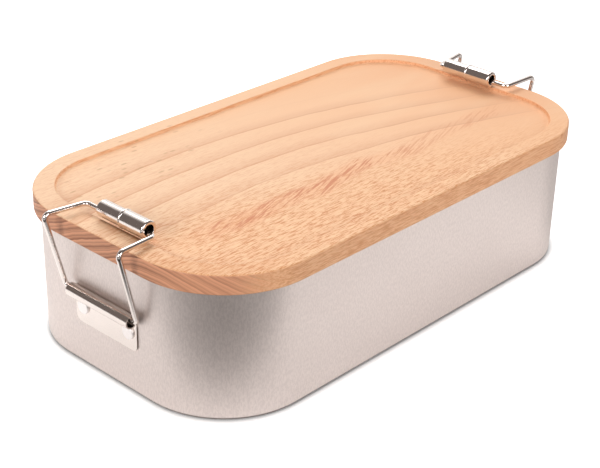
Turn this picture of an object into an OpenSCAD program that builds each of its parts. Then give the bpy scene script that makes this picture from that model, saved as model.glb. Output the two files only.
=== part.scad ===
// Lunch box: a drawn metal tub with a wooden lid held down by two wire clasps.
// Origin under the middle of the tub, on the surface it stands on.
// +X runs along the length to the right end, -Y is the front, +Z is up.

/* [Lid] */
// Length of the lid board
lid_l = 225; // [180:1:260]
// Width of the lid board
lid_w = 125; // [110:1:150]
// Corner radius of the lid board, seen from above
lid_corner_r = 38.5; // [25:0.5:45]
// Height of the lid's visible edge
lid_edge_h = 7.8; // [6:0.1:14]
// How far the lid stands out past the tub's wall
lid_overhang = 2.6; // [1.5:0.1:5]
// How far the lid's plug reaches down into the tub
plug_depth = 4.5; // [2:0.1:8]
// Gap between the plug and the mouth of the tub
plug_gap = 0.5; // [0.3:0.1:1.5]
// Width of the raised rim along the lid's long sides
rim_w = 8; // [6:0.1:10]
// Width of the raised rim at the lid's two ends
rim_end_w = 9.4; // [8:0.1:11]
// Corner radius of the recessed field, seen from above
recess_corner_r = 28.5; // [15:0.5:40]
// Depth of the recessed field
recess_depth = 2; // [1.5:0.1:3]
// Radius of the cove where the recess wall meets its floor
recess_cove_r = 1.3; // [0.4:0.1:1.5]
// Round-over on the rim's inner edge
rim_round = 0.5; // [0.3:0.1:1]
// Round-over on the lid's outer top edge
lid_top_round = 0.8; // [0.5:0.1:2.5]
// Round-over on the lid's lower edges
lid_low_round = 0.6; // [0.2:0.1:1]

/* [Tub] */
// Height of the tub up to its mouth
tub_h = 52.1; // [45:0.1:80]
// Thickness of the tub's sheet
tub_t = 0.8; // [0.5:0.1:1.2]
// Outer radius round the tub's base
base_r = 1.6; // [1.4:0.1:8]
// Height of the folded hem inside the mouth
hem_h = 3.2; // [2:0.1:5]

/* [Hinge plates] */
// Width of a hinge plate
plate_w = 33.6; // [32:0.1:37]
// Height of the plate's lower edge above the table
plate_low_z = 18.6; // [14:0.1:21]
// Radius of the plate's lower corners
plate_corner_r = 2.4; // [0.5:0.1:4]
// Thickness of the plate's sheet
plate_t = 0.5; // [0.4:0.05:0.7]
// Height of the barrel's axis above the table
barrel_z = 32; // [30:0.1:36]
// Outer diameter of the rolled barrel
barrel_d = 5.2; // [4.2:0.1:5.4]
// Length of the rolled barrel
barrel_l = 33.6; // [32:0.1:42]
// Slit left where the rolled edge comes back to the plate
barrel_slit = 0.5; // [0.3:0.05:0.8]

/* [Rivets] */
// Distance between a plate's two rivets
rivet_pitch = 25; // [20:0.1:27]
// Height of the rivets above the table
rivet_z = 25.5; // [23.5:0.1:26]
// Diameter of a rivet's head
rivet_head_d = 5.8; // [4.5:0.1:6.5]
// Height of a rivet's head
rivet_head_t = 0.8; // [0.5:0.05:1.2]
// Diameter of a rivet's shank
rivet_d = 3; // [2:0.1:3.5]
// Radial gap round a rivet's shank
rivet_gap = 0.05; // [0.03:0.01:0.1]

/* [Bails] */
// Diameter of the bail's wire
wire_d = 2; // [1.6:0.1:2.2]
// How far the bail's elbow stands out past the end of the lid
elbow_out = 7.6; // [5.5:0.1:9]
// How far the elbows stand above the bail's top bar
elbow_rise = 0.6; // [0:0.1:2]
// Distance between the bail's two elbows
elbow_span = 40.4; // [39.5:0.1:44]
// Distance between the two corners of the bail's top bar
bar_span = 36.8; // [36.5:0.1:41]
// Bend radius at the elbows, on the wire's centre line
elbow_r = 2; // [1.5:0.1:4]
// Bend radius at the ends of the top bar
bar_bend_r = 2.5; // [1.8:0.1:3]
// Bend radius where the wire turns into the barrel
pin_bend_r = 1.5; // [1.2:0.1:1.6]
// Gap between the wire's two ends, inside the roller
wire_end_gap = 1; // [0.5:0.1:3]
// Running gap between the wire and what it turns in
wire_gap = 0.1; // [0.06:0.01:0.2]
// Gap between the bail's legs and the ends of the barrel
leg_gap = 1.9; // [0.2:0.05:3]

/* [Rollers] */
// Diameter of the outer sleeve
roller_d = 7.2; // [6.9:0.1:7.6]
// Length of the outer sleeve
outer_sleeve_l = 13.2; // [11:0.1:19]
// Diameter of the inner sleeve
inner_sleeve_d = 6.6; // [5.4:0.1:6.8]
// Length of the inner sleeve that stays bare
inner_sleeve_bare_l = 11.7; // [8:0.1:13]
// Length of the inner sleeve inside the outer one
inner_sleeve_hidden_l = 6; // [3:0.1:10]
// Diameter of the bore through both sleeves
roller_bore_d = 4.2; // [3.6:0.1:5]
// Gap between the two sleeves
sleeve_gap = 0.02; // [0.01:0.01:0.05]
// Length of the rounded bead where the outer sleeve ends on the inner one
bead_l = 1.2; // [0.8:0.1:2]
// How far the bead stands above the outer sleeve
bead_rise = 0.15; // [0:0.05:0.2]
// Width of the groove in front of the bead
bead_groove_w = 0.2; // [0.1:0.05:0.5]
// Depth of that groove, as a share of the outer sleeve's wall
bead_groove_share = 0.5; // [0.2:0.05:0.7]
// Round-over on the outer sleeve's open end
mouth_round = 0.8; // [0.3:0.1:1.2]
// Place of the left roller in its free travel along the bar, -1 front to 1 back
left_roller_push = -0.85; // [-1:0.05:1]
// Place of the right roller in its free travel along the bar, -1 front to 1 back
right_roller_push = 0.5; // [-1:0.05:1]
// Gap between the closed roller and the rim's inner edge
roller_gap = 0.55; // [0.5:0.05:1.2]
// Angle above level at which the closed roller bears on the rim
roller_seat_angle = 67; // [45:1:75]

/* [Hidden] */
$fn = 64;

// Tub and lid
tub_l = lid_l - 2 * lid_overhang;
tub_w = lid_w - 2 * lid_overhang;
tub_corner_r = lid_corner_r - lid_overhang;
mouth_t = 2 * tub_t;
plug_in = lid_overhang + mouth_t + plug_gap;
lid_top_z = tub_h + lid_edge_h;
recess_l = lid_l - 2 * rim_end_w;
recess_w = lid_w - 2 * rim_w;
recess_z = lid_top_z - recess_depth;
wall_x = tub_l / 2;

// Barrel and the pin that turns in it, drawn up against the top of the bore
barrel_x = wall_x + barrel_d / 2;
barrel_bore_r = barrel_d / 2 - plate_t;
pin_z = barrel_z + barrel_bore_r - wire_d / 2 - wire_gap;
leg_y = barrel_l / 2 + leg_gap + wire_d / 2;

// Roller behind the rim, and the top bar drawn down inside it
seat_reach = rim_round + roller_d / 2 + roller_gap;
roller_x = recess_l / 2 + rim_round - seat_reach * cos(roller_seat_angle);
roller_z = lid_top_z - rim_round + seat_reach * sin(roller_seat_angle);
bar_drop = roller_bore_d / 2 - wire_d / 2 - wire_gap;
pull = unit([barrel_x - roller_x, 0, pin_z - roller_z]);
bar_x = roller_x + bar_drop * pull.x;
bar_z = roller_z + bar_drop * pull.z;
roller_l = inner_sleeve_bare_l + outer_sleeve_l;
bar_straight = bar_span - 2 * bar_bend_r;
roller_slide = (bar_straight - roller_l) / 2;

overcut = 1;
bend_lap = 3;
bend_swell = 0.04;

function unit(v) = v / norm(v);

// Helper shapes

// Upright profile of a solid with one rounded lower outer edge.
module base_rounded(reach, height, radius) {
    translate([0, radius]) square([reach, height - radius]);
    square([reach - radius, radius + overcut]);
    translate([reach - radius, radius]) circle(radius);
}

// What a round-over takes off a sharp corner at the origin, corner pointing to +x +y.
module round_over(radius) {
    difference() {
        translate([-radius, -radius]) square(radius + overcut);
        translate([-radius, -radius]) circle(radius);
    }
}

// Carries a profile round a rounded rectangle. The profile starts at the corner's centre.
module sweep_round(length, width, radius) {
    run = [length - 2 * radius, width - 2 * radius];
    for (mx = [0, 1], my = [0, 1])
        mirror([mx, 0, 0]) mirror([0, my, 0])
            translate([run.x / 2, run.y / 2, 0]) rotate_extrude(angle = 90) children();
    for (turn = [0, 180]) rotate(turn) {
        translate([-run.x / 2, run.y / 2, 0]) rotate([90, 0, 90]) linear_extrude(run.x) children();
        translate([run.x / 2, run.y / 2, 0]) rotate([90, 0, 0]) linear_extrude(run.y) children();
    }
}

// Level block that fills the middle of such a sweep.
module sweep_core(length, width, radius, low, high) {
    run = [length - 2 * radius, width - 2 * radius];
    translate([-run.x / 2, -run.y / 2, low]) cube([run.x, run.y, high - low]);
}

// Turns a shape that is made along +Z so that it runs along +X from a point of the end wall.
module out_of_wall(x, y, z) {
    translate([x, y, z]) rotate([0, 90, 0]) children();
}

// Wire along a list of points, with one bend radius for each point between the ends.
module wire(points, radii) {
    last = len(points) - 2;
    ways = [for (i = [0 : last]) unit(points[i + 1] - points[i])];
    turns = [for (i = [1 : last]) acos(ways[i - 1] * ways[i])];
    cuts = [0, for (i = [1 : last]) radii[i - 1] * tan(turns[i - 1] / 2), 0];
    runs = [for (i = [0 : last]) norm(points[i + 1] - points[i]) - cuts[i] - cuts[i + 1]];
    sides = [for (i = [1 : last]) unit(ways[i] - ways[i - 1] * cos(turns[i - 1]))];
    rolls = [0, for (i = [1 : last - 1]) roll_between(
        sides[i - 1] * cos(turns[i - 1]) - ways[i - 1] * sin(turns[i - 1]), sides[i], ways[i]), 0];
    x = sides[0];
    z = ways[0];
    y = cross(z, x);
    multmatrix([[x.x, y.x, z.x, points[0].x],
                [x.y, y.y, z.y, points[0].y],
                [x.z, y.z, z.z, points[0].z],
                [0, 0, 0, 1]])
        wire_from(0, runs, turns, rolls, radii);
}

// Angle that turns one side direction into another about the wire.
function roll_between(from, to, about) = atan2(cross(from, to) * about, from * to);

// One straight stretch up +Z, the bend towards +X after it, and all that follows.
// The bend laps over the straights and is a hair thicker, so that the two join cleanly.
module wire_from(i, runs, turns, rolls, radii) {
    rotate(rolls[i]) {
        cylinder(d = wire_d, h = runs[i]);
        if (i < len(turns))
            translate([radii[i], 0, runs[i]]) {
                rotate([90, 0, 180]) rotate(-bend_lap) rotate_extrude(angle = turns[i] + 2 * bend_lap)
                    translate([radii[i], 0]) circle(d = wire_d + bend_swell);
                rotate([0, turns[i], 0]) translate([-radii[i], 0, 0])
                    wire_from(i + 1, runs, turns, rolls, radii);
            }
    }
}

// Places a right-hand clasp piece at the left end.
module at_left() {
    mirror([1, 0, 0]) children();
}

// Tub

module tub_profile() {
    difference() {
        union() {
            difference() {
                base_rounded(tub_corner_r, tub_h, base_r);
                translate([0, tub_t])
                    base_rounded(tub_corner_r - tub_t, tub_h, base_r - tub_t);
            }
            translate([tub_corner_r - mouth_t, tub_h - hem_h]) square([tub_t + tub_t / 2, hem_h]);
        }
        for (side = [0, 1])
            translate([tub_corner_r - side * mouth_t, tub_h]) mirror([side, 0]) round_over(tub_t / 2);
    }
}

module rivet_holes() {
    for (side = [-1, 1])
        out_of_wall(wall_x - tub_t - overcut, side * rivet_pitch / 2, rivet_z)
            cylinder(r = rivet_d / 2 + rivet_gap, h = tub_t + plate_t + 2 * overcut);
}

module tub() {
    color("silver") difference() {
        union() {
            sweep_round(tub_l, tub_w, tub_corner_r) tub_profile();
            sweep_core(tub_l, tub_w, tub_corner_r, 0, tub_t);
        }
        rivet_holes();
        at_left() rivet_holes();
    }
}

// Lid

module lid_profile() {
    difference() {
        union() {
            translate([0, tub_h]) square([lid_corner_r, lid_edge_h]);
            translate([0, tub_h - plug_depth])
                base_rounded(lid_corner_r - plug_in, plug_depth + overcut, lid_low_round);
        }
        translate([lid_corner_r, lid_top_z]) round_over(lid_top_round);
        translate([lid_corner_r, tub_h]) mirror([0, 1]) round_over(lid_low_round);
    }
}

// What the recess takes out of the lid, with the round-over of the rim's inner edge.
module recess_profile() {
    translate([0, recess_z]) base_rounded(recess_corner_r, recess_depth + overcut, recess_cove_r);
    translate([recess_corner_r, lid_top_z]) mirror([1, 0]) round_over(rim_round);
}

module lid_board() {
    color("burlywood") difference() {
        union() {
            sweep_round(lid_l, lid_w, lid_corner_r) lid_profile();
            sweep_core(lid_l, lid_w, lid_corner_r, tub_h - plug_depth, lid_top_z);
        }
        sweep_round(recess_l, recess_w, recess_corner_r) recess_profile();
        sweep_core(recess_l, recess_w, recess_corner_r, recess_z, lid_top_z + overcut);
    }
}

// Hinge plates and rivets

module barrel_section() {
    difference() {
        union() {
            translate([0, barrel_z - plate_low_z - barrel_d / 2]) square([plate_t, barrel_d / 2]);
            translate([barrel_d / 2, barrel_z - plate_low_z]) circle(d = barrel_d);
        }
        translate([barrel_d / 2, barrel_z - plate_low_z]) circle(barrel_bore_r);
        translate([plate_t, barrel_z - plate_low_z - barrel_d]) square([barrel_slit, barrel_d]);
    }
}

module plate_outline() {
    plate_h = barrel_z - barrel_d / 2 - plate_low_z;
    translate([-plate_w / 2, plate_corner_r]) square([plate_w, plate_h - plate_corner_r]);
    translate([plate_corner_r - plate_w / 2, 0])
        square([plate_w - 2 * plate_corner_r, plate_corner_r + overcut]);
    for (side = [-1, 1])
        translate([side * (plate_w / 2 - plate_corner_r), plate_corner_r]) circle(plate_corner_r);
}

module hinge_plate() {
    color("gainsboro") difference() {
        union() {
            translate([wall_x, 0, plate_low_z]) rotate([90, 0, 90]) linear_extrude(plate_t) plate_outline();
            translate([wall_x, barrel_l / 2, plate_low_z]) rotate([90, 0, 0])
                linear_extrude(barrel_l) barrel_section();
        }
        rivet_holes();
    }
}

// Head of a rivet: a low disc with a rounded rim, seated at z = 0.
module rivet_head() {
    rotate_extrude() difference() {
        square([rivet_head_d / 2, rivet_head_t]);
        translate([rivet_head_d / 2, rivet_head_t]) round_over(rivet_head_t / 2);
    }
}

module rivets() {
    grip = tub_t + plate_t;
    color("white") for (side = [-1, 1])
        out_of_wall(wall_x - tub_t, side * rivet_pitch / 2, rivet_z) {
            cylinder(d = rivet_d, h = grip);
            translate([0, 0, grip]) rivet_head();
            mirror([0, 0, 1]) rivet_head();
        }
}

// Bails and rollers

module bail() {
    half = [[bar_x, wire_end_gap / 2, bar_z],
            [bar_x, bar_span / 2, bar_z],
            [lid_l / 2 + elbow_out, elbow_span / 2, bar_z + elbow_rise],
            [barrel_x, leg_y, pin_z]];
    other = [for (i = [3 : -1 : 0]) [half[i].x, -half[i].y, half[i].z]];
    color("lightgray")
        wire(concat(half, other), [bar_bend_r, elbow_r, pin_bend_r, pin_bend_r, elbow_r, bar_bend_r]);
}

// Places a roller piece on the top bar, at its place in the free travel.
module on_bar(push) {
    translate([roller_x, push * roller_slide - roller_l / 2, roller_z]) rotate([-90, 0, 0]) children();
}

module roller_inner_sleeve(push) {
    length = inner_sleeve_bare_l + inner_sleeve_hidden_l;
    color("gainsboro") on_bar(push) translate([0, 0, roller_l - length]) rotate_extrude() difference() {
        translate([roller_bore_d / 2, 0]) square([(inner_sleeve_d - roller_bore_d) / 2, length]);
        translate([inner_sleeve_d / 2, length]) round_over(mouth_round / 2);
    }
}

module roller_outer_sleeve(push) {
    bore_r = roller_bore_d / 2;
    outer_r = roller_d / 2;
    seat_r = inner_sleeve_d / 2 + sleeve_gap;
    seat_l = inner_sleeve_hidden_l + sleeve_gap;
    groove_r = outer_r - bead_groove_share * (outer_r - seat_r);
    bead_z = outer_sleeve_l - bead_l / 2;
    color("lightgray") on_bar(push) rotate_extrude() difference() {
        union() {
            translate([bore_r, 0]) square([outer_r - bore_r, outer_sleeve_l - bead_l - bead_groove_w]);
            translate([bore_r, 0]) square([groove_r - bore_r, bead_z]);
            translate([outer_r + bead_rise - bead_l / 2, bead_z]) circle(d = bead_l);
        }
        translate([0, outer_sleeve_l - seat_l]) square([seat_r, seat_l + overcut]);
        translate([outer_r, 0]) mirror([0, 1]) round_over(mouth_round);
        translate([bore_r, 0]) mirror([1, 0]) mirror([0, 1]) round_over(mouth_round / 2);
    }
}

tub();
lid_board();
at_left() hinge_plate();  // left_hinge_plate
at_left() rivets();  // left_rivets
at_left() bail();  // left_bail
at_left() roller_inner_sleeve(left_roller_push);  // left_roller_inner_sleeve
at_left() roller_outer_sleeve(left_roller_push);  // left_roller_outer_sleeve
hinge_plate();  // right_hinge_plate
rivets();  // right_rivets
bail();  // right_bail
roller_inner_sleeve(right_roller_push);  // right_roller_inner_sleeve
roller_outer_sleeve(right_roller_push);  // right_roller_outer_sleeve
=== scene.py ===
"""Looks, light and camera for a metal lunch box with a wooden lid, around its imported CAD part."""
import math

import bpy
from mathutils import Matrix, Vector

# Camera of the photograph: angles in degrees, distances in metres, focal length and frame width in the
# photograph's pixels, and the sensor's width in millimetres.
VIEW_AZIMUTH = -47.23
VIEW_ELEVATION = 27.24
VIEW_ROLL = 1.34
VIEW_DISTANCE = 0.58846
VIEW_RIGHT = -0.00557
VIEW_UP = 0.0178
VIEW_CLIP = 0.01
FOCAL_PIXELS = 1404.66
FRAME_PIXELS = 600
SENSOR_WIDTH = 36

MM_PER_M = 1000

# How far one step of a noise's seed moves it on each axis, in features.
SEED_SHIFT = (1.0, 2.3, 3.7)

# Floor, in metres. It has a dark strip towards the camera, with a soft edge at both sides.
FLOOR_SIZE = 8.0
FLOOR_EDGE = 0.115
FLOOR_FADE = 0.04
FLOOR_DARK_END = 0.24
FLOOR_DARK_FADE = 0.1

# Right of the picture, behind the object's middle, the floor is dim.
FLOOR_RIGHT_EDGE = 0.05
FLOOR_RIGHT_BACK = 0.015
FLOOR_RIGHT_FADE = 0.04

# Shares of the strip's darkness: beyond its end, and in the dim part.
FLOOR_PAST_DARK = 0.6
FLOOR_DIM = 0.46

# Glow that keeps the floor white: for the camera on its pale and on its dark part, and in metal.
FLOOR_GLOW_PALE = 0.8
FLOOR_GLOW_DARK = 1.0
FLOOR_GLOW_IN_METAL = 0.34

# Widest gap that counts as narrow, in metres, under the object on the floor and on the lid, where it sets the
# lid's painted shade, and the number of rays that look for it.
FLOOR_GAP = 0.005
LID_GAP = 0.0025
GAP_SAMPLES = 8

# The white backdrop fades out between these cosines of the angle to the camera's level direction.
BACKDROP_EDGE = -0.58
BACKDROP_END = -0.36

# Lid, in millimetres: height of its recessed field, and how far above it the rim starts and is full.
LID_FIELD_Z = 57.9
RIM_START = 0.6
RIM_FULL = 1.6

# Growth rings on the lid's top, in millimetres: their distance, the crest of one ring's bow along X, the
# bow's curve, and how far the rings lean for each millimetre of height.
RING_SPACING = 14
RING_CREST_X = -50
RING_CREST_Y = 7
RING_CURVE = 0.0014
RING_LEAN = 2.4

# Rings on the lid's end grain: distance in height, climb to the front, where they bend down, and how fast.
END_RING_SPACING = 3.65
END_RING_CLIMB = 0.4
END_RING_BEND_Y = -15
END_RING_CURVE = 0.017

# Red figure in the lid: distance in front of the lid's middle, half width with and without its soft edge,
# how far it wanders, all in millimetres, and its streaks' slope.
FIGURE_FRONT = 24
FIGURE_HALF_WIDTH = 6.5
FIGURE_CORE = 2.5
FIGURE_WANDER = 6
FIGURE_CLIMB = 0.33

# Painted contact shadow round the tub's base, in millimetres: the height where it starts and where it is
# full.
BASE_SHADE_TOP_Z = 1.6
BASE_SHADE_FULL_Z = 0.8

# Hinge barrel, in millimetres: height of its lower side, and the stretch below it where the painted shade on
# the plate's edges comes in.
BARREL_LOW_Z = 29.5
BARREL_FADE = 0.5


class Nodes:
    """Short calls for one node tree. Each value may be a number, a tuple or another node's output."""

    def __init__(self, owner):
        owner.use_nodes = True
        self.tree = owner.node_tree
        self.tree.nodes.clear()

    def add(self, kind, inputs=None, **settings):
        node = self.tree.nodes.new("ShaderNode" + kind)
        for name, value in settings.items():
            setattr(node, name, value)
        for key, value in (inputs or {}).items():
            self.feed(node.inputs[key], value)
        return node

    def feed(self, socket, value):
        if isinstance(value, bpy.types.NodeSocket):
            self.tree.links.new(value, socket)
        else:
            socket.default_value = value

    def math(self, operation, *values):
        node = self.add("Math", operation=operation)
        for socket, value in zip(node.inputs, values):
            self.feed(socket, value)
        return node.outputs[0]

    def sum(self, *terms):
        total = terms[0]
        for term in terms[1:]:
            total = self.math("ADD", total, term)
        return total

    def times(self, *factors):
        product = factors[0]
        for factor in factors[1:]:
            product = self.math("MULTIPLY", product, factor)
        return product

    def vector(self, operation, a, b):
        return self.add("VectorMath", {0: a, 1: b}, operation=operation).outputs[0]

    def split(self, vector):
        return self.add("SeparateXYZ", {0: vector}).outputs

    def dot(self, a, b):
        return self.add("VectorMath", {0: a, 1: b}, operation="DOT_PRODUCT").outputs["Value"]

    def place(self):
        """Point in the piece's own frame, in millimetres, so that a pattern moves with its piece."""
        point = self.add("TexCoord").outputs["Object"]
        return self.vector("MULTIPLY", point, (MM_PER_M,) * 3)

    def facing(self):
        """Parts along X, Y and Z of the way that the surface looks, in the piece's own frame."""
        return self.split(self.add("TexCoord").outputs["Normal"])

    def noise(self, place, size, detail, roughness, seed):
        """Noise from 0 to 1 whose features are about size millimetres long on each axis."""
        cells = self.vector("DIVIDE", place, size)
        moved = self.vector("ADD", cells, tuple(seed * shift for shift in SEED_SHIFT))
        inputs = {"Vector": moved, "Scale": 1.0, "Detail": detail, "Roughness": roughness}
        return self.add("TexNoise", inputs).outputs[0]

    def step(self, value, low, high):
        """Smooth step from 0 at low to 1 at high. High may be the smaller one."""
        inputs = {"Value": value, "From Min": low, "From Max": high}
        return self.add("MapRange", inputs, interpolation_type="SMOOTHSTEP").outputs[0]

    def span(self, value, low, high):
        """Stretches a value that runs from 0 to 1 so that it runs from low to high."""
        return self.add("MapRange", {"Value": value, "To Min": low, "To Max": high}).outputs[0]

    def open_air(self, gap):
        """1 on open surfaces, and less the more of the air within gap metres is blocked."""
        return self.add("AmbientOcclusion", {"Distance": gap}, samples=GAP_SAMPLES).outputs["AO"]

    def mix(self, share, first, second):
        inputs = {"Factor": share, 6: first, 7: second}
        return self.add("Mix", inputs, data_type="RGBA").outputs[2]

    def coat(self, tone, colour, share, strength=1.0):
        """Lays a colour over a tone. Strength is how much of it shows where share is 1."""
        return self.mix(self.times(share, strength), tone, colour)

    def bump(self, height, depth_mm, strength):
        inputs = {"Height": height, "Distance": depth_mm / MM_PER_M, "Strength": strength}
        return self.add("Bump", inputs).outputs[0]

    def surface(self, **sockets):
        """Ends the tree in one Principled shader. Sockets are named with underscores for spaces."""
        inputs = {name.replace("_", " "): value for name, value in sockets.items()}
        shader = self.add("BsdfPrincipled", inputs)
        self.add("OutputMaterial", {"Surface": shader.outputs[0]})


def rgb(red, green, blue):
    return (red, green, blue, 1.0)


def new_material(name):
    material = bpy.data.materials.new(name)
    return material, Nodes(material)


def saw(n, phase, fade, edge):
    """Growth ring: 1 just above each whole phase, falling to 0 over fade, with a sharp edge below."""
    inside = n.math("FRACT", phase)
    return n.times(n.step(inside, fade, edge), n.step(inside, 0.0, edge))


class Board:
    """What the layers of the beech share. Places are in millimetres, and each mask runs from 0 to 1."""

    def __init__(self, n):
        self.place = n.place()
        self.x, self.y, self.z = n.split(self.place)

        # Upright faces, those that look out of the board's ends, and all the rest.
        facing = n.facing()
        self.steep = n.step(n.math("ABSOLUTE", facing[2]), 0.85, 0.4)
        outward = n.times(facing[0], n.math("SIGN", self.x))
        self.end_grain = n.times(n.step(outward, 0.2, 0.7), self.steep)
        self.side_grain = n.math("SUBTRACT", 1.0, self.end_grain)

        # The front of the board, and its front left corner, where the wood is coarse.
        self.front = n.step(n.sum(self.y, n.times(self.x, 0.2)), -4, -42)
        self.coarse = n.step(n.sum(n.times(self.x, -0.73), n.times(self.y, -0.68)), -45, 40)

        # Slow and quick wandering of the rings, and fibres along the grain.
        self.drift = n.noise(self.place, (130, 34, 34), detail=2, roughness=0.45, seed=1.7)
        self.waver = n.noise(self.place, (20, 5, 5), detail=2, roughness=0.5, seed=4.1)
        self.fibre = n.noise(self.place, (14, 0.8, 0.8), detail=3, roughness=0.68, seed=2.2)


def plain_wood(n, board):
    """Wood without its grain: redder to the right and in front, where the wood is denser, while the paler
    back is partly painted sheen. The left rim is pale, and brown in front.
    """
    tone = n.mix(n.step(board.x, -95, 90), rgb(0.95, 0.65, 0.425), rgb(0.92, 0.545, 0.315))
    tone = n.coat(tone, rgb(0.88, 0.475, 0.26), n.step(board.x, 55, 105), strength=0.7)
    # Redder front: partly the denser wood there, partly painted sheen that leaves the back paler.
    tone = n.coat(tone, rgb(0.92, 0.53, 0.29), board.front, strength=0.8)
    rim = n.step(board.z, LID_FIELD_Z + RIM_START, LID_FIELD_Z + RIM_FULL)
    left_rim = n.times(rim, n.step(board.x, -70, -100))
    rim_tone = n.mix(n.step(board.y, -14, -36), rgb(0.95, 0.645, 0.42), rgb(0.82, 0.43, 0.215))
    return n.coat(tone, rim_tone, left_rim, strength=0.8)


def late_wood(n, board):
    """Rings across the top that bow along X and lean over through the board, and the mask that shows them."""
    from_crest = n.math("SUBTRACT", board.x, RING_CREST_X)
    bow = n.times(from_crest, from_crest, RING_CURVE)
    lean = n.times(n.math("SUBTRACT", board.z, LID_FIELD_Z), RING_LEAN)
    across = n.sum(board.y, bow, lean, n.span(board.drift, -3, 3), n.span(board.waver, -0.8, 0.8))
    phase = n.math("DIVIDE", n.math("SUBTRACT", across, RING_CREST_Y), RING_SPACING)
    wide = saw(n, phase, fade=0.6, edge=0.02)
    thin = saw(n, phase, fade=0.1, edge=0.02)
    shown = n.times(n.step(across, -16, -8), n.step(across, 52, 38), n.step(board.x, 120, 60))
    return n.sum(n.times(wide, 0.5), n.times(thin, 0.5)), shown


def add_clouds_and_fibres(n, board, tone):
    """Paler clouds, and darker fibres that are strongest where the wood is coarse."""
    cloud = n.noise(board.place, (60, 20, 20), detail=2, roughness=0.5, seed=6.4)
    tone = n.coat(tone, rgb(0.96, 0.67, 0.43), n.step(cloud, 0.45, 0.75), strength=0.3)
    fibres = n.times(n.step(board.fibre, 0.48, 0.72), n.span(board.coarse, 0.12, 0.42))
    return n.coat(tone, rgb(0.83, 0.45, 0.24), fibres)


def add_end_grain(n, board, tone):
    """Deeper tone on upright faces. At the board's ends dark rings climb there and bend down in front."""
    tone = n.coat(tone, rgb(1.0, 0.53, 0.28), board.steep, strength=0.5)
    past_bend = n.math("MAXIMUM", n.math("SUBTRACT", END_RING_BEND_Y, board.y), 0.0)
    climb = n.times(board.y, END_RING_CLIMB)
    bend = n.times(past_bend, past_bend, END_RING_CURVE)
    height = n.sum(board.z, climb, bend, n.span(board.drift, -1.2, 1.2), n.span(board.waver, -0.4, 0.4))
    phase = n.math("DIVIDE", height, END_RING_SPACING)
    wide = saw(n, phase, fade=0.8, edge=0.1)
    thin = saw(n, n.times(phase, 2.5), fade=0.9, edge=0.15)
    softened = n.span(n.step(past_bend, 5, 30), 1.0, 0.55)
    rings = n.times(n.sum(n.times(wide, 0.55), n.times(thin, 0.5)), softened)
    end_tone = n.mix(rings, rgb(0.75, 0.355, 0.21), rgb(0.28, 0.10, 0.053))
    return n.coat(tone, end_tone, board.end_grain, strength=0.9)


def pore_dashes(n, board):
    """Noise of short dashes along the grain, and the mask that shows them, most to the front left."""
    dashes = n.noise(board.place, (3.2, 0.34, 0.34), detail=1, roughness=0.5, seed=3.3)
    in_front = n.times(n.span(board.front, 0.3, 1.0), n.span(board.steep, 1.0, 0.5))
    return dashes, n.times(in_front, board.side_grain, n.span(board.coarse, 0.08, 1.0))


def add_pores(n, board, tone, dashes, shown):
    """Dark pores with paler wood between them, dull streaks, and redder streaks along the board's edges."""
    streaks = n.noise(board.place, (9, 0.6, 0.6), detail=2, roughness=0.6, seed=7.1)
    edge_streaks = n.times(n.step(streaks, 0.47, 0.6), board.steep, board.side_grain)
    pores = n.times(n.step(dashes, 0.53, 0.62), shown)
    dull = n.times(n.step(streaks, 0.52, 0.64), shown)
    pale = n.times(n.step(dashes, 0.46, 0.36), shown)
    tone = n.coat(tone, rgb(0.72, 0.275, 0.12), edge_streaks, strength=0.5)
    tone = n.coat(tone, rgb(0.66, 0.25, 0.085), pores, strength=0.85)
    tone = n.coat(tone, rgb(0.70, 0.315, 0.145), dull, strength=0.25)
    return n.coat(tone, rgb(1.0, 0.72, 0.44), pale, strength=0.4), pores


def add_red_figure(n, board, tone):
    """Band of red streaks that climb across the grain to the right, over a wash of orange."""
    slide = n.add("CombineXYZ", {"Y": n.times(board.x, -FIGURE_CLIMB)}).outputs[0]
    climbing = n.vector("ADD", board.place, slide)
    streaks = n.step(n.noise(climbing, (12, 1.0, 1.0), detail=3, roughness=0.6, seed=8.2), 0.48, 0.62)
    wander = n.noise(board.place, (24, 40, 40), detail=2, roughness=0.5, seed=5.5)
    middle = n.sum(board.y, FIGURE_FRONT, n.span(wander, -FIGURE_WANDER, FIGURE_WANDER))
    across = n.step(n.math("ABSOLUTE", middle), FIGURE_HALF_WIDTH, FIGURE_CORE)
    along = n.times(n.step(board.x, -92, -72), n.step(board.x, 100, 80))
    band = n.times(across, along, n.span(n.step(board.x, 5, 45), 0.85, 0.35))
    tone = n.coat(tone, rgb(0.86, 0.40, 0.20), band, strength=0.3)
    return n.coat(tone, rgb(0.66, 0.225, 0.10), n.times(streaks, band))


def add_flecks_and_gap_shade(n, board, tone):
    """Small dark flecks at the back left, and painted shade in narrow gaps, as the contact shadow under the
    clasp's roller.
    """
    cells = n.vector("DIVIDE", board.place, (9, 3.4, 3.4))
    from_fleck = n.add("TexVoronoi", {"Vector": cells, "Scale": 1.0}).outputs["Distance"]
    flecks = n.times(n.step(from_fleck, 0.22, 0.1), n.step(board.y, 14, 30), n.step(board.x, 0, -50))
    tone = n.coat(tone, rgb(0.60, 0.34, 0.17), flecks, strength=0.6)
    # Painted shade in narrow gaps, such as the contact shadow under the clasp's roller.
    return n.coat(tone, rgb(0.20, 0.08, 0.03), n.step(n.open_air(LID_GAP), 0.75, 0.25))


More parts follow.
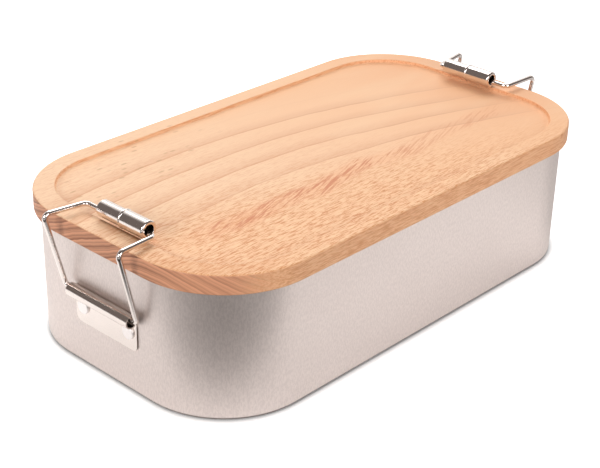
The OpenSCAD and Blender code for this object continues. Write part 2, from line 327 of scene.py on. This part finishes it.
def beech(name):
    """Oiled beech board: growth rings, fibres, end grain, pores, a band of red figure and flecks."""
    material, n = new_material(name)
    board = Board(n)
    late, rings_shown = late_wood(n, board)
    tone = n.coat(plain_wood(n, board), rgb(0.75, 0.395, 0.225), n.times(late, rings_shown))
    tone = add_clouds_and_fibres(n, board, tone)
    tone = add_end_grain(n, board, tone)
    dashes, pores_shown = pore_dashes(n, board)
    tone, pores = add_pores(n, board, tone, dashes, pores_shown)
    tone = add_red_figure(n, board, tone)
    tone = add_flecks_and_gap_shade(n, board, tone)
    relief = n.sum(n.times(pores, -0.4), n.times(board.fibre, 0.5, board.coarse), n.times(late, -0.2))
    n.surface(
        Base_Color=tone,
        Roughness=n.span(board.fibre, 0.62, 0.46),
        Specular_IOR_Level=0.35,
        Normal=n.bump(relief, depth_mm=0.12, strength=0.5),
    )
    return material


def satin_aluminium(name):
    """Drawn aluminium sheet with a fine upright speckle, a dull, cloudy sheen and painted contact shadow
    along its base edge.
    """
    material, n = new_material(name)
    place = n.place()
    speckle = n.noise(place, (0.6, 0.6, 1.5), detail=2, roughness=0.65, seed=1.2)
    brushing = n.noise(place, (0.8, 0.8, 16), detail=2, roughness=0.5, seed=2.9)
    cloud = n.noise(place, (30, 30, 18), detail=2, roughness=0.5, seed=5.3)
    tone = n.mix(n.step(speckle, 0.35, 0.65), rgb(0.71, 0.63, 0.595), rgb(0.82, 0.735, 0.695))
    tone = n.coat(tone, rgb(0.70, 0.62, 0.585), brushing, strength=0.25)
    tone = n.coat(tone, rgb(0.71, 0.625, 0.60), cloud, strength=0.25)
    # Painted contact shadow where the base edge meets the floor.
    base_shade = n.step(n.split(place)[2], BASE_SHADE_TOP_Z, BASE_SHADE_FULL_Z)
    relief = n.sum(n.times(speckle, 0.7), n.times(brushing, 0.3))
    n.surface(
        Base_Color=n.coat(tone, rgb(0.12, 0.1, 0.09), base_shade, strength=0.9),
        Metallic=1.0,
        Roughness=n.sum(n.span(speckle, 0.44, 0.54), n.span(cloud, -0.03, 0.03)),
        Normal=n.bump(relief, depth_mm=0.02, strength=0.35),
    )
    return material


def polished_nickel(name):
    """Polished nickel plate of two tones, with faint handling marks."""
    material, n = new_material(name)
    place = n.place()
    cloud = n.noise(place, (9, 9, 9), detail=3, roughness=0.55, seed=2.4)
    marks = n.noise(place, (0.5, 3.5, 0.5), detail=3, roughness=0.6, seed=3.8)
    n.surface(
        Base_Color=n.mix(cloud, rgb(0.90, 0.83, 0.79), rgb(0.76, 0.69, 0.65)),
        Metallic=1.0,
        Roughness=n.sum(n.span(marks, 0.09, 0.19), n.span(cloud, -0.03, 0.03)),
        Normal=n.bump(marks, depth_mm=0.03, strength=0.6),
    )
    return material


def plated_sheet(name):
    """Satin nickel plate on sheet steel, with painted shade on its cut edges for the gap against the wall."""
    material, n = new_material(name)
    place = n.place()
    below_barrel = n.step(n.split(place)[2], BARREL_LOW_Z, BARREL_LOW_Z - BARREL_FADE)
    # Painted shade on the plate's upright edges below the barrel, for the dark gap against the wall.
    edge_gap_shade = n.times(n.step(n.math("ABSOLUTE", n.facing()[0]), 0.7, 0.4), below_barrel)
    cloud = n.noise(place, (9, 9, 9), detail=3, roughness=0.55, seed=7.7)
    marks = n.noise(place, (0.4, 5, 0.4), detail=3, roughness=0.6, seed=9.1)
    tone = n.mix(cloud, rgb(0.85, 0.77, 0.72), rgb(0.77, 0.695, 0.65))
    n.surface(
        Base_Color=n.coat(tone, rgb(0.20, 0.16, 0.14), edge_gap_shade),
        Metallic=1.0,
        Roughness=n.sum(n.span(marks, 0.1, 0.22), n.span(cloud, -0.03, 0.03), n.times(edge_gap_shade, 0.3)),
        Normal=n.bump(marks, depth_mm=0.02, strength=0.4),
    )
    return material


def rivet_aluminium(name):
    """Plain soft aluminium with the small dents of a riveting set."""
    material, n = new_material(name)
    dents = n.noise(n.place(), (0.9, 0.9, 0.9), detail=2, roughness=0.5, seed=3.6)
    n.surface(
        Base_Color=n.mix(dents, rgb(0.86, 0.80, 0.78), rgb(0.96, 0.91, 0.89)),
        Metallic=1.0,
        Roughness=n.span(dents, 0.36, 0.5),
        Normal=n.bump(dents, depth_mm=0.05, strength=0.5),
    )
    return material


def dress(nodes):
    """Gives each CAD node its material."""
    nickel = polished_nickel("polished_nickel")
    by_piece = {
        "tub": satin_aluminium("satin_aluminium"),
        "lid_board": beech("oiled_beech"),
        "hinge_plate": plated_sheet("plated_sheet"),
        "rivets": rivet_aluminium("rivet_aluminium"),
        "bail": nickel,
        "roller_inner_sleeve": nickel,
        "roller_outer_sleeve": nickel,
    }
    for name, node in nodes.items():
        piece = name.removeprefix("left_").removeprefix("right_")
        node.data.materials.clear()
        node.data.materials.append(by_piece[piece])


def view_axes():
    """Right, up and back directions of the photograph's camera."""
    azimuth, elevation, roll = (math.radians(a) for a in (VIEW_AZIMUTH, VIEW_ELEVATION, VIEW_ROLL))
    level = math.cos(elevation)
    back = Vector((math.sin(azimuth) * level, -math.cos(azimuth) * level, math.sin(elevation)))
    right = Vector((0, 0, 1)).cross(back).normalized()
    up = back.cross(right)
    return (
        right * math.cos(roll) + up * math.sin(roll),
        up * math.cos(roll) - right * math.sin(roll),
        back,
    )


def make_camera():
    """Camera that sees the object as the photograph shows it."""
    right, up, back = view_axes()
    data = bpy.data.cameras.new("photo_camera")
    data.sensor_width = SENSOR_WIDTH
    data.lens = SENSOR_WIDTH * FOCAL_PIXELS / FRAME_PIXELS
    data.clip_start = VIEW_CLIP
    camera = bpy.data.objects.new("photo_camera", data)
    place = right * VIEW_RIGHT + up * VIEW_UP + back * VIEW_DISTANCE
    turn = Matrix((right, up, back)).transposed().to_4x4()
    camera.matrix_world = Matrix.Translation(place) @ turn
    bpy.context.collection.objects.link(camera)
    bpy.context.scene.camera = camera


def towards_camera():
    """Level direction from the object to the photograph's camera."""
    azimuth = math.radians(VIEW_AZIMUTH)
    return (math.sin(azimuth), -math.cos(azimuth), 0.0)


def right_of_picture():
    """Level direction across the right-hand edge of the view, which opens with distance."""
    azimuth = math.radians(VIEW_AZIMUTH)
    opening = FRAME_PIXELS / 2 / FOCAL_PIXELS * math.cos(math.radians(VIEW_ELEVATION))
    ahead = towards_camera()
    return (math.cos(azimuth) + opening * ahead[0], math.sin(azimuth) + opening * ahead[1], 0.0)


def floor_darkness(n):
    """Dark strip below the picture and dim part to its right, which shape the light on the metal."""
    point = n.add("TexCoord").outputs["Object"]
    ahead = n.dot(point, towards_camera())
    past_strip = n.step(ahead, FLOOR_DARK_END, FLOOR_DARK_END + FLOOR_DARK_FADE)
    in_strip = n.step(ahead, FLOOR_EDGE, FLOOR_EDGE + FLOOR_FADE)
    below = n.times(in_strip, n.span(past_strip, 1.0, FLOOR_PAST_DARK))
    aside = n.step(n.dot(point, right_of_picture()), FLOOR_RIGHT_EDGE, FLOOR_RIGHT_EDGE + FLOOR_RIGHT_FADE)
    behind = n.step(ahead, -FLOOR_RIGHT_BACK, -FLOOR_RIGHT_BACK - FLOOR_RIGHT_FADE)
    return n.math("MAXIMUM", below, n.times(aside, behind, FLOOR_DIM))


def floor_material(name):
    """Floor that the camera sees white all over, apart from the object's shadow."""
    material, n = new_material(name)
    dark = floor_darkness(n)
    diffuse = n.add("BsdfDiffuse", {"Color": n.mix(dark, rgb(0.86, 0.86, 0.86), rgb(0.06, 0.056, 0.053))})
    path = n.add("LightPath").outputs
    open_floor = n.step(n.open_air(FLOOR_GAP), 0.3, 0.98)
    direct = n.times(path["Is Camera Ray"], n.span(dark, FLOOR_GLOW_PALE, FLOOR_GLOW_DARK), open_floor)
    mirrored = n.math("MAXIMUM", path["Is Glossy Ray"], path["Is Transmission Ray"])
    in_metal = n.times(mirrored, FLOOR_GLOW_IN_METAL, n.span(dark, 1.0, 0.0))
    glow = n.add("Emission", {"Color": rgb(1, 1, 1), "Strength": n.math("MAXIMUM", direct, in_metal)})
    both = n.add("AddShader", {0: diffuse.outputs[0], 1: glow.outputs[0]})
    n.add("OutputMaterial", {"Surface": both.outputs[0]})
    return material


def make_floor():
    """Square floor at the object's base. It is not part of the object."""
    half = FLOOR_SIZE / 2
    mesh = bpy.data.meshes.new("floor")
    corners = [(-half, -half, 0), (half, -half, 0), (half, half, 0), (-half, half, 0)]
    mesh.from_pydata(corners, [], [(0, 1, 2, 3)])
    mesh.materials.append(floor_material("studio_floor"))
    floor = bpy.data.objects.new("floor", mesh)
    bpy.context.collection.objects.link(floor)


def soft_box(name, place, size, power):
    """Square lamp that faces the object. Place and size in metres, power in watts."""
    data = bpy.data.lights.new(name, "AREA")
    data.shape = "SQUARE"
    data.size = size
    data.energy = power
    lamp = bpy.data.objects.new(name, data)
    lamp.location = place
    lamp.rotation_euler = (-Vector(place)).to_track_quat("-Z", "Y").to_euler()
    bpy.context.collection.objects.link(lamp)


def make_light():
    """White backdrop behind the object in a dark room, and three soft boxes."""
    world = bpy.data.worlds.new("studio")
    bpy.context.scene.world = world
    n = Nodes(world)
    ahead = n.dot(n.add("TexCoord").outputs["Generated"], towards_camera())
    dark = n.step(ahead, BACKDROP_EDGE, BACKDROP_END)
    tone = n.mix(dark, rgb(1.0, 0.985, 0.965), rgb(0.17, 0.145, 0.135))
    sky = n.add("Background", {"Color": tone, "Strength": 1.0})
    n.add("OutputWorld", {"Surface": sky.outputs[0]})
    soft_box("back_light", place=(0.42, 0.4, 0.95), size=0.8, power=6.1)
    soft_box("left_light", place=(-1.08, -0.1, 0.52), size=0.5, power=6.4)
    soft_box("front_light", place=(-0.3, -1.05, 0.45), size=0.5, power=5.1)


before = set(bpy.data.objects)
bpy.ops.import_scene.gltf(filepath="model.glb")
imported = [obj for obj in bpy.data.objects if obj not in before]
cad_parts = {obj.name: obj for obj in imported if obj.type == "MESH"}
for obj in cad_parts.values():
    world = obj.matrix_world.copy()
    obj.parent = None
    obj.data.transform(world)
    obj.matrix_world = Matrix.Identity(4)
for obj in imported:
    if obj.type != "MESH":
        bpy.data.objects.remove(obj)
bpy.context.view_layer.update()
dress(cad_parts)
make_camera()
make_floor()
make_light()
bpy.context.scene.view_settings.view_transform = "Standard"
